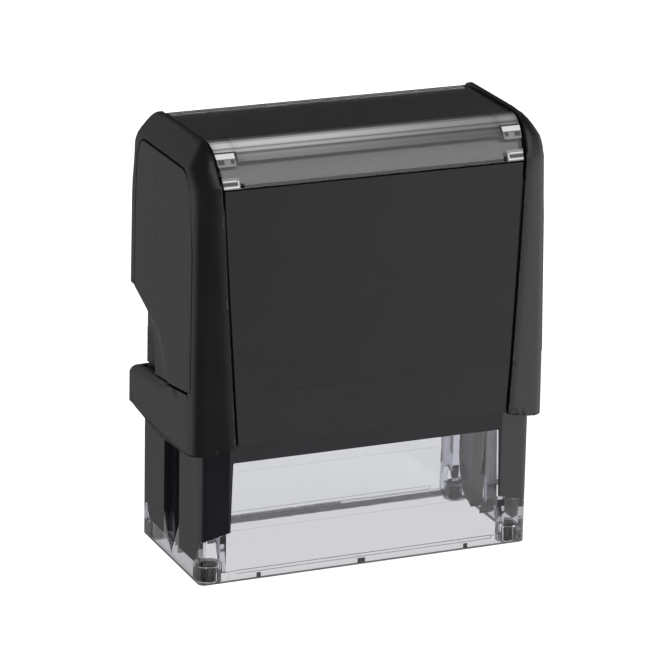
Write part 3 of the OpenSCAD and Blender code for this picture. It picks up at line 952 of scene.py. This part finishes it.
def cushion(name, lo, hi, r, crown, cells, mat, node_name):
    """A block of felt or foam: soft edges, faces slightly crowned."""
    bm = bmesh.new()
    bmesh.ops.create_cube(bm, size=1)
    for v in bm.verts:
        v.co = Vector([lo[k] if v.co[k] < 0 else hi[k] for k in range(3)])
    q = 1.0
    for ax in range(3):
        n = max(2, int(round((hi[ax] - lo[ax]) / (cells * q))))
        cuts = [lo[ax] + (hi[ax] - lo[ax]) * k / n for k in range(1, n)]
        for k in (0.25, 0.6, 1.0):
            cuts += [lo[ax] + r * k, hi[ax] - r * k]
        no = Vector((0, 0, 0))
        no[ax] = 1
        for c in sorted(set(round(c, 4) for c in cuts)):
            co = Vector((0, 0, 0))
            co[ax] = c
            bmesh.ops.bisect_plane(
                bm, geom=bm.verts[:] + bm.edges[:] + bm.faces[:],
                plane_co=co, plane_no=no, dist=1e-5)
    for v in bm.verts:
        inner = Vector([min(max(v.co[k], lo[k] + r), hi[k] - r)
                        for k in range(3)])
        d = v.co - inner
        if sum(abs(c) > 1e-6 for c in d) > 1:
            v.co = inner + d.normalized() * r
        u = (v.co.x - lo[0]) / (hi[0] - lo[0]) * 2 - 1
        w = (v.co.y - lo[1]) / (hi[1] - lo[1]) * 2 - 1
        bulge = crown * (1 - abs(u) ** 6) * (1 - abs(w) ** 4)
        wave = 0.03 * (math.sin(v.co.x * 2.1 + v.co.y * 0.7)
                       + math.sin(v.co.y * 2.9 - v.co.x * 0.6))
        mid = (lo[2] + hi[2]) / 2
        side = 1 if v.co.z > mid else -1
        v.co.z += side * (bulge - crown + wave * (1 - abs(u) ** 8) - 0.06)
        v.co *= MM
    for f in bm.faces:
        f.smooth = True
    obj = add(name, bm, mat, BODY[node_name], node_name)
    return obj


WINDOW_LINE = ((-18.75, 90.4), (-18.0, 92.0), (-17.35, 93.3), (-16.6, 94.6),
               (-15.6, 96.05), (-14.4, 97.35), (-13.55, 98.05),
               (-12.6, 98.6), (-11.6, 99.0), (-10.5, 99.15), (-8.5, 99.15))


def window_point(y):
    """Point and outward normal on the window's outer line at y."""
    z = table(WINDOW_LINE, y)
    dz = (table(WINDOW_LINE, y + 0.35) - table(WINDOW_LINE, y - 0.35)) / 0.7
    n = Vector((0, -dz, 1)).normalized()
    return z, n


def window_strip(bm, x0, x1, y0, y1, lift, thick, cols=1):
    """A thin plate on the window's outer face, x0..x1 by y0..y1."""
    rows = max(2, int(abs(y1 - y0) / 0.25) + 1)
    top, low = [], []
    for i in range(rows + 1):
        y = y0 + (y1 - y0) * i / rows
        z, n = window_point(y)
        limit = table(EDGE, z) - 0.62
        a, b = max(x0, -limit), min(x1, limit)
        xs = [a + (b - a) * k / cols for k in range(cols + 1)]
        top.append([bm.verts.new((Vector((x, y, z)) + n * lift) * MM)
                    for x in xs])
        low.append([bm.verts.new((Vector((x, y, z)) + n * (lift - thick))
                                 * MM) for x in xs])
    for i in range(rows):
        for k in range(cols):
            bm.faces.new((top[i][k], top[i][k + 1], top[i + 1][k + 1],
                          top[i + 1][k]))
            bm.faces.new((low[i][k], low[i + 1][k], low[i + 1][k + 1],
                          low[i][k + 1]))
        bm.faces.new((top[i][0], top[i + 1][0], low[i + 1][0], low[i][0]))
        bm.faces.new((top[i][-1], low[i][-1], low[i + 1][-1],
                      top[i + 1][-1]))
    for k in range(cols):
        bm.faces.new((top[0][k], low[0][k], low[0][k + 1], top[0][k + 1]))
        bm.faces.new((top[-1][k], top[-1][k + 1], low[-1][k + 1],
                      low[-1][k]))


def painted_fold_highlight():
    """Painted highlight streaks on the clear window's fold, painted paler to
    the left.
    """
    m, nt, out = new_mat("window_fold_painted_highlight")
    p = node(nt, "ShaderNodeBsdfPrincipled")
    nt.links.new(p.outputs["BSDF"], out.inputs["Surface"])
    p.inputs["Roughness"].default_value = 0.30
    tc = node(nt, "ShaderNodeTexCoord")
    xyz = node(nt, "ShaderNodeSeparateXYZ")
    nt.links.new(tc.outputs["Object"], xyz.inputs[0])
    along = remap(nt, xyz.outputs["Y"], 0.0, 1.0, -0.0096, -0.0160)
    ramp = node(nt, "ShaderNodeValToRGB")
    nt.links.new(along, ramp.inputs["Fac"])
    stops = ((-9.6, .035), (-10.2, .055), (-10.9, .10), (-11.35, .16),
             (-11.6, .50), (-11.85, .26), (-12.15, .58), (-13.0, .62),
             (-13.4, .50), (-13.62, .17), (-13.85, .44), (-14.25, .48),
             (-14.5, .15), (-14.72, .15), (-14.95, .28), (-15.2, .25),
             (-15.6, .21), (-16.0, .17))
    el = ramp.color_ramp.elements
    while len(el) > 1:
        el.remove(el[-1])
    for i, (y, v) in enumerate(stops):
        at = (-9.6 - y) / 6.4
        e = el[0] if i == 0 else el.new(at)
        e.position = at
        e.color = (v, v, v * 1.01, 1)
    side = node(nt, "ShaderNodeMapRange", interpolation_type="SMOOTHSTEP")
    nt.links.new(xyz.outputs["X"], side.inputs["Value"])
    side.inputs["From Min"].default_value = -0.022
    side.inputs["From Max"].default_value = 0.030
    side.inputs["To Min"].default_value = 1.0
    side.inputs["To Max"].default_value = 0.46
    grey = node(nt, "ShaderNodeMix", data_type="RGBA")
    grey.inputs["A"].default_value = (0.03, 0.03, 0.03, 1)
    nt.links.new(ramp.outputs["Color"], grey.inputs["B"])
    nt.links.new(side.outputs["Result"], grey.inputs["Factor"])
    nt.links.new(grey.outputs["Result"], p.inputs["Base Color"])
    return m


def make_window_details():
    bm = bmesh.new()
    window_strip(bm, -31.2, 31.2, -9.7, -15.9, 0.03, 0.1, 24)
    for side in (-1, 1):
        x0, x1 = sorted((side * 31.2, side * 36.2))
        window_strip(bm, x0, x1, -9.7, -14.2, 0.03, 0.1, 3)
    for f in bm.faces:
        f.smooth = True
    # A thin sheet over the window's fold that carries only painted highlight.
    add("index_window_fold", bm, painted_fold_highlight(), BODY["index_window"])
    # The clips' strips are lit and shaded copies of one plastic: painted
    # highlight, painted mid tone and painted shade.
    clip_highlight_paint = plastic("clip_painted_highlight", (0.74, 0.74, 0.75), (0.84, 0.84, 0.85),
                     0.25, 0.03)
    clip_midtone_paint = plastic("clip_painted_midtone", (0.20, 0.20, 0.205), (0.30, 0.30, 0.305),
                     0.3, 0.03)
    dark = plastic("clip_shade", (0.035, 0.035, 0.038),
                   (0.08, 0.08, 0.084), 0.3, 0.03)
    sets = (
        ("light", clip_highlight_paint, ((31.6, 36.2, -14.5, -15.35, 0.10),
                           (32.2, 35.3, -17.90, -18.02, 0.08),
                           (31.9, 35.4, -18.46, -18.60, 0.08),
                           (31.75, 31.98, -17.95, -18.6, 0.08))),
        ("grey", clip_midtone_paint, ((31.6, 36.1, -15.42, -16.4, 0.05),
                          (31.5, 35.9, -17.62, -18.70, 0.03))),
        ("shade", dark, ((31.2, 36.2, -14.22, -14.46, 0.06),
                         (31.05, 31.5, -14.3, -16.3, 0.06),
                         (31.9, 32.7, -15.5, -16.05, 0.07),
                         (34.2, 35.6, -15.5, -16.1, 0.07),
                         (31.9, 35.5, -18.1, -18.38, 0.06))),
    )
    for word, mat, parts in sets:
        bm = bmesh.new()
        for x0, x1, y0, y1, lift in parts:
            for side in (-1, 1):
                a, b = sorted((side * x0, side * x1))
                window_strip(bm, a, b, y0, y1, lift, lift + 0.1)
        add("index_window_clip_painted_" + word, bm, mat, BODY["index_window"])


make_window_details()
make_return_spring()
make_button_spring(-1)
make_button_spring(1)
cushion("ink_felt_pad", (-32.0, -13.2, 45.0), (32.0, 13.2, 48.2), 0.45, 0.22,
        1.4, FELT, "ink_pad")
cushion("foam_backing", (-31.5, -12.3, 39.7), (31.5, 12.3, 41.7), 0.35, 0.10,
        1.4, FOAM, "foam_cushion")
take("platen", 0.00025, 3)
take("text_plate", 0.00014, 2)
take("label_card", 0.00006, 1, shape=panel_form)
take("base_feet", 0.00035, 3)
for n in ("left_axle_pin", "right_axle_pin", "cam_followers"):
    take(n, 0.0002, 2)

# ---------------------------------------------------------------- stage

W, H = 650, 650
YAW, PITCH, ROLL = -23.6, 18.5, 1.23
FOCAL_PX, DIST, CX, CY = 4160.0, 0.927, 338.3, 327.0


def add_camera():
    cal = CAL
    yaw, pitch, roll = (math.radians(v) for v in cal[:3])
    back = Vector((math.sin(yaw) * math.cos(pitch),
                   -math.cos(yaw) * math.cos(pitch), math.sin(pitch)))
    right = (-back).cross(Vector((0, 0, 1))).normalized()
    up = right.cross(-back)
    r = math.cos(roll) * right + math.sin(roll) * up
    u = -math.sin(roll) * right + math.cos(roll) * up
    cam = bpy.data.cameras.new("camera")
    cam.sensor_width = 36.0
    cam.lens = 36.0 * cal[3] / W
    cam.shift_x = -(cal[5] - W / 2) / W
    cam.shift_y = (cal[6] - H / 2) / W
    cam.clip_start = 0.05
    cam.clip_end = 20
    obj = bpy.data.objects.new("camera", cam)
    loc = Vector((0, 0, 0.05)) + back * cal[4]
    obj.matrix_world = Matrix((
        (r.x, u.x, back.x, loc.x), (r.y, u.y, back.y, loc.y),
        (r.z, u.z, back.z, loc.z), (0, 0, 0, 1)))
    scene.collection.objects.link(obj)
    scene.camera = obj


CAL = (YAW, PITCH, ROLL, FOCAL_PX, DIST, CX, CY)
add_camera()


def add_floor():
    me = bpy.data.meshes.new("floor")
    bm = bmesh.new()
    s = 4.0
    vs = [bm.verts.new(p) for p in ((-s, -s, 0), (s, -s, 0), (s, s, 0),
                                    (-s, s, 0))]
    bm.faces.new(vs)
    bm.to_mesh(me)
    bm.free()
    obj = bpy.data.objects.new("floor", me)
    obj.location.z = -0.00002
    scene.collection.objects.link(obj)
    m, nt, out = new_mat("floor")
    p = node(nt, "ShaderNodeBsdfDiffuse")
    p.inputs["Color"].default_value = (0.36, 0.36, 0.36, 1)
    glow = node(nt, "ShaderNodeEmission")
    path = node(nt, "ShaderNodeLightPath")
    nt.links.new(remap(nt, path.outputs["Is Camera Ray"], 0.70, 0.96, 0, 1),
                 glow.inputs["Strength"])
    both = node(nt, "ShaderNodeAddShader")
    nt.links.new(p.outputs["BSDF"], both.inputs[0])
    nt.links.new(glow.outputs["Emission"], both.inputs[1])
    nt.links.new(both.outputs["Shader"], out.inputs["Surface"])
    paint(obj, m)
    obj.visible_glossy = False


add_floor()


def direction(az, el):
    """Azimuth from the front towards the right, elevation, degrees."""
    a, e = math.radians(az), math.radians(el)
    return (math.sin(a) * math.cos(e), -math.cos(a) * math.cos(e),
            math.sin(e))


# Soft boxes seen in reflections: azimuth, elevation, half width, edge, level
BOXES = (
    (60, -18.5, 10, 50, 1.62),
    (28, 35, 13, 13, 2.1),
    (-105, -18, 6, 34, 1.05),
    (-160, -4, 22, 28, 0.34),
    (130, 30, 6, 26, 0.16),
    (112, -8, 10, 20, 0.6),
)


def add_world():
    w = bpy.data.worlds.new("studio")
    scene.world = w
    w.use_nodes = True
    nt = w.node_tree
    for n in list(nt.nodes):
        nt.nodes.remove(n)
    out = node(nt, "ShaderNodeOutputWorld")
    tc = node(nt, "ShaderNodeTexCoord")
    total = None
    for az, el, half, edge, level in BOXES:
        dot = node(nt, "ShaderNodeVectorMath", operation="DOT_PRODUCT")
        nt.links.new(tc.outputs["Generated"], dot.inputs[0])
        dot.inputs[1].default_value = direction(az, el)
        r = node(nt, "ShaderNodeMapRange", interpolation_type="SMOOTHSTEP")
        r.inputs["From Min"].default_value = math.radians(half + edge)
        r.inputs["From Max"].default_value = math.radians(half)
        r.inputs["To Min"].default_value = 0.0
        r.inputs["To Max"].default_value = level
        angle = node(nt, "ShaderNodeMath", operation="ARCCOSINE")
        nt.links.new(dot.outputs["Value"], angle.inputs[0])
        nt.links.new(angle.outputs[0], r.inputs["Value"])
        if total is None:
            total = r.outputs["Result"]
        else:
            a = node(nt, "ShaderNodeMath", operation="ADD")
            nt.links.new(total, a.inputs[0])
            nt.links.new(r.outputs["Result"], a.inputs[1])
            total = a.outputs[0]
    a = node(nt, "ShaderNodeMath", operation="ADD")
    nt.links.new(total, a.inputs[0])
    a.inputs[1].default_value = 0.05
    boxes = node(nt, "ShaderNodeBackground")
    nt.links.new(a.outputs[0], boxes.inputs["Strength"])
    plain = node(nt, "ShaderNodeBackground")
    plain.inputs["Strength"].default_value = 1.12
    path = node(nt, "ShaderNodeLightPath")
    mix = node(nt, "ShaderNodeMixShader")
    nt.links.new(path.outputs["Is Glossy Ray"], mix.inputs["Fac"])
    nt.links.new(plain.outputs[0], mix.inputs[1])
    nt.links.new(boxes.outputs[0], mix.inputs[2])
    nt.links.new(mix.outputs[0], out.inputs["Surface"])
    if hasattr(w, "cycles"):
        w.cycles.sampling_method = "NONE"


add_world()
scene.view_settings.view_transform = "Standard"
scene.view_settings.look = "None"
